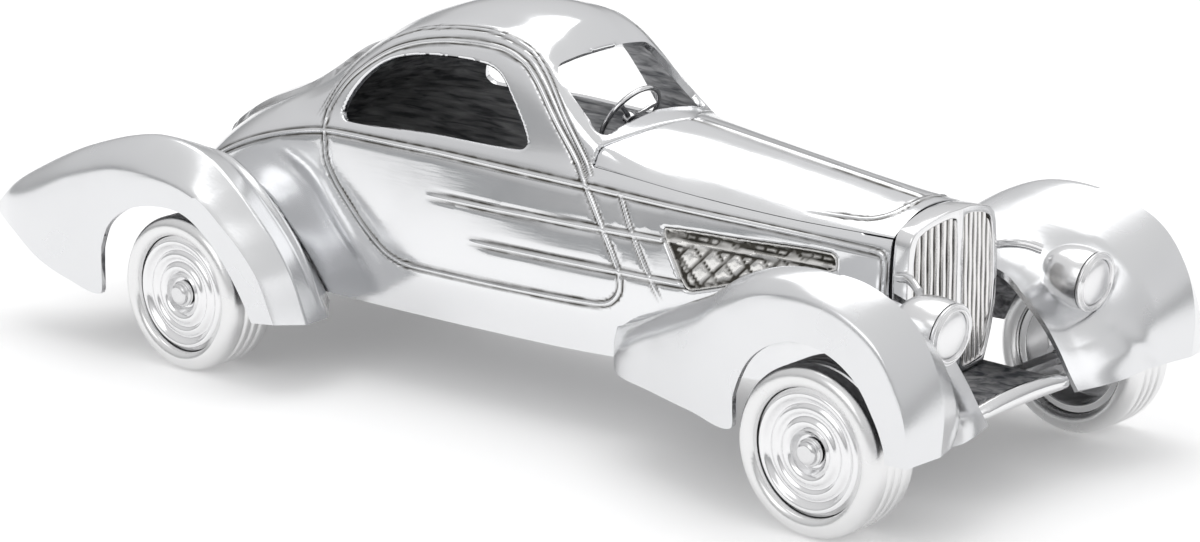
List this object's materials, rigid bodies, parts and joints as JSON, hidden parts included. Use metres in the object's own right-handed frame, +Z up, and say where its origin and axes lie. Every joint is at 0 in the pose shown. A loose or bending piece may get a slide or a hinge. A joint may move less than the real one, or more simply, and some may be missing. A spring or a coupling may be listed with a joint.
{
  "type": "cast metal display car",
  "caption": "Polished cast-metal display model of a streamlined pre-war coupe with pontoon fenders, open windows and wheels that turn.",
  "frame": {"origin": "on the surface the wheels stand on, under the middle of the whole car", "axes": "+X towards the nose, -Y towards the car's right-hand side, +Z up"},
  "size_m": [0.4626, 0.1724, 0.143],
  "materials": {
    "polished_shell": "mirror-polished cast aluminium with dark antiquing left in its grooves",
    "satin_fender": "soft satin polish over cast aluminium",
    "polished_trim": "hand-polished cast aluminium",
    "antiqued_relief": "cast relief, dark in the hollows and bright on the high spots",
    "polished_lamp": "turned and polished aluminium",
    "lamp_face": "satin aluminium lamp face",
    "satin_tyre": "satin turned aluminium",
    "turned_wheel": "turned and polished aluminium with fine concentric marks",
    "turned_steel": "turned steel",
    "rough_cast": "rasped, unpolished cast aluminium"
  },
  "bodies": {
    "car": {"body_shell": "polished_shell", "bonnet": "polished_shell", "front_fender_left": "satin_fender", "front_fender_right": "satin_fender", "rear_fender_left": "satin_fender", "rear_fender_right": "satin_fender", "apron_bar": "polished_trim", "grille_shell": "polished_trim", "grille_centre_rib": "polished_trim", "grille_bars_left": "antiqued_relief", "grille_bars_right": "antiqued_relief", "side_vent_left": "antiqued_relief", "side_vent_right": "antiqued_relief", "headlamp_bowl_left": "polished_lamp", "headlamp_bowl_right": "polished_lamp", "headlamp_bezel_left": "polished_lamp", "headlamp_bezel_right": "polished_lamp", "headlamp_bracket_left": "polished_lamp", "headlamp_bracket_right": "polished_lamp", "headlamp_lens_left": "lamp_face", "headlamp_lens_right": "lamp_face", "steering_wheel": "polished_trim", "steering_column": "rough_cast", "dashboard": "rough_cast", "floor_plate": "rough_cast", "floor_screw_1": "turned_steel", "floor_screw_2": "turned_steel", "floor_screw_3": "turned_steel", "floor_screw_4": "turned_steel", "front_axle_carrier": "rough_cast", "rear_axle_carrier": "rough_cast", "front_axle": "turned_steel", "rear_axle": "turned_steel", "axle_collar_front_left": "turned_steel", "axle_collar_front_right": "turned_steel", "axle_collar_rear_left": "turned_steel", "axle_collar_rear_right": "turned_steel", "hub_nut_front_left": "turned_steel", "hub_nut_front_right": "turned_steel", "hub_nut_rear_left": "turned_steel", "hub_nut_rear_right": "turned_steel"},
    "front_left_wheel": {"tyre_front_left": "satin_tyre", "wheel_front_left": "turned_wheel"},
    "front_right_wheel": {"tyre_front_right": "satin_tyre", "wheel_front_right": "turned_wheel"},
    "rear_left_wheel": {"tyre_rear_left": "satin_tyre", "wheel_rear_left": "turned_wheel"},
    "rear_right_wheel": {"tyre_rear_right": "satin_tyre", "wheel_rear_right": "turned_wheel"}
  },
  "joints": [
    {"name": "front_left_wheel_spin", "type": "hinge", "parent": "car", "child": "front_left_wheel", "pos_m": [0.1842, 0.0743, 0.0297], "axis": [0, 1, 0], "continuous": true},
    {"name": "front_right_wheel_spin", "type": "hinge", "parent": "car", "child": "front_right_wheel", "pos_m": [0.1842, -0.0743, 0.0297], "axis": [0, 1, 0], "continuous": true},
    {"name": "rear_left_wheel_spin", "type": "hinge", "parent": "car", "child": "rear_left_wheel", "pos_m": [-0.1158, 0.0743, 0.0297], "axis": [0, 1, 0], "continuous": true},
    {"name": "rear_right_wheel_spin", "type": "hinge", "parent": "car", "child": "rear_right_wheel", "pos_m": [-0.1158, -0.0743, 0.0297], "axis": [0, 1, 0], "continuous": true}
  ]
}
